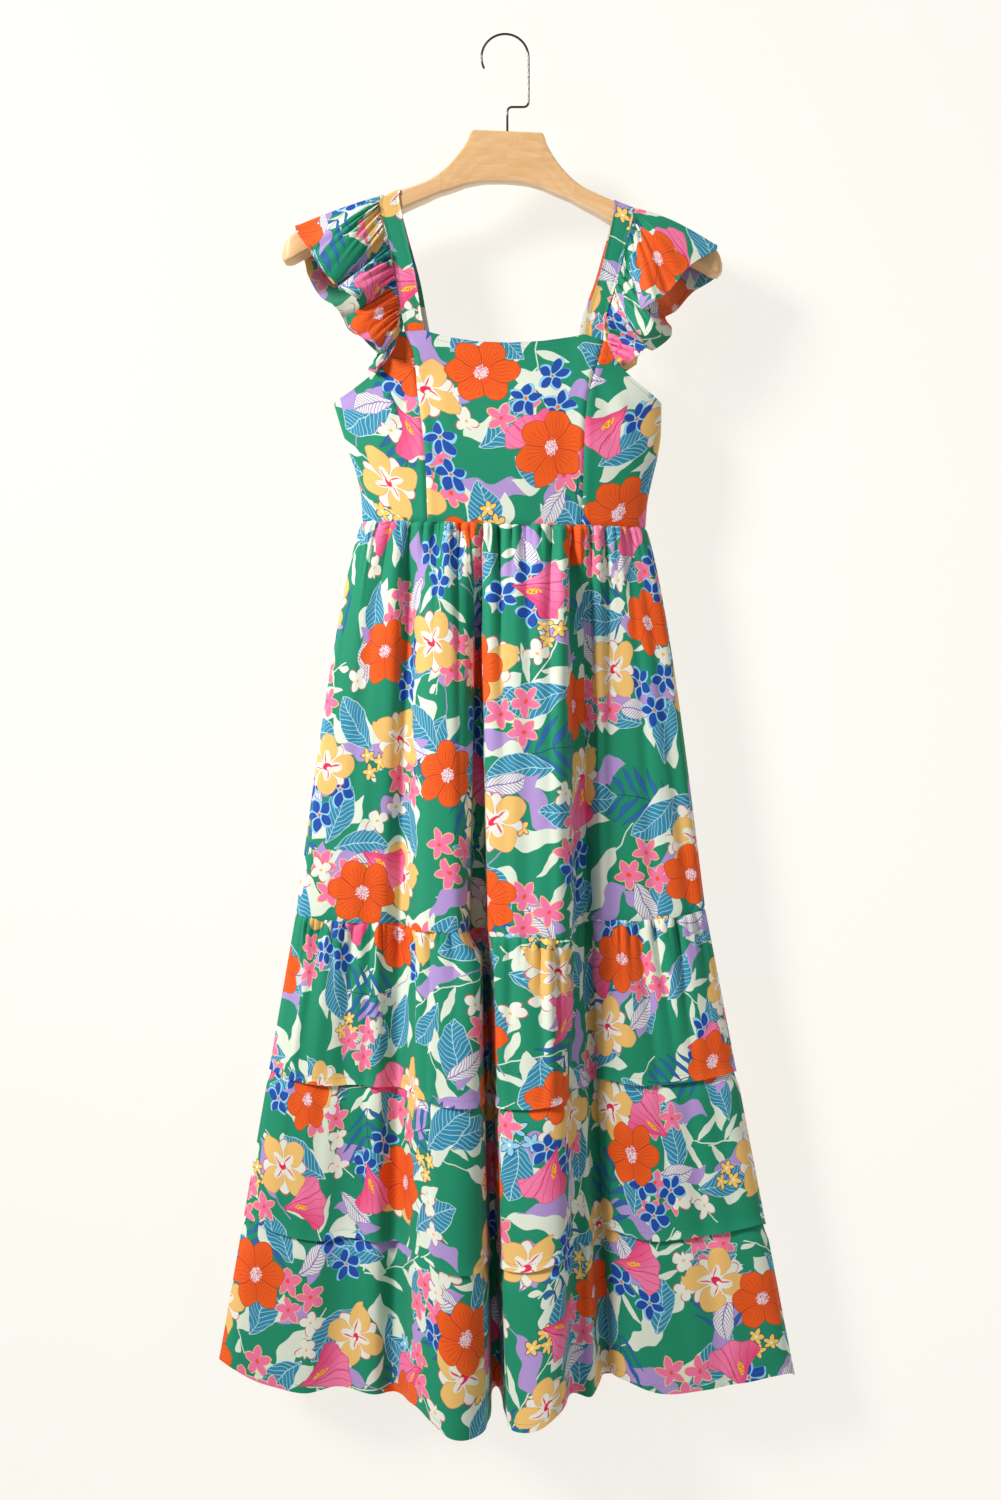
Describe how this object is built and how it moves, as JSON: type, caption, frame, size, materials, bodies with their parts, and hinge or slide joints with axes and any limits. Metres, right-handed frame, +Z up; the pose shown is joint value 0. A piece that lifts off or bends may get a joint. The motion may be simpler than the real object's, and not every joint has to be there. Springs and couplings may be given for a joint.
{
  "type": "tiered maxi dress on a hanger",
  "caption": "Sleeveless maxi dress with square neck, wide straps, shoulder ruffles, gathered waist and tiered skirt, hanging on a wooden hanger with a wire hook.",
  "frame": {"origin": "inner top of the hanger's hook bow, where a rail carries it", "axes": "+Z up, -Y the way the dress faces, +X to the right as seen from the front"},
  "size_m": [0.5934, 0.1277, 1.4238],
  "materials": {
    "printed_cloth": "matte plain-weave cotton with a multicolour leaf and flower print on green",
    "beech": "satin clear varnish",
    "hook_wire": "polished"
  },
  "bodies": {
    "root": {"hanger_body": "beech", "hanger_hook": "hook_wire", "bodice_front_centre": "printed_cloth", "bodice_front_side_left": "printed_cloth", "bodice_front_side_right": "printed_cloth", "bodice_back": "printed_cloth", "strap_left": "printed_cloth", "strap_right": "printed_cloth", "ruffle_left": "printed_cloth", "ruffle_right": "printed_cloth", "skirt_tier_1_front": "printed_cloth", "skirt_tier_1_back": "printed_cloth", "skirt_tier_2_front": "printed_cloth", "skirt_tier_2_back": "printed_cloth", "skirt_tier_3_front": "printed_cloth", "skirt_tier_3_back": "printed_cloth", "skirt_tier_4_front": "printed_cloth", "skirt_tier_4_back": "printed_cloth"}
  },
  "joints": []
}
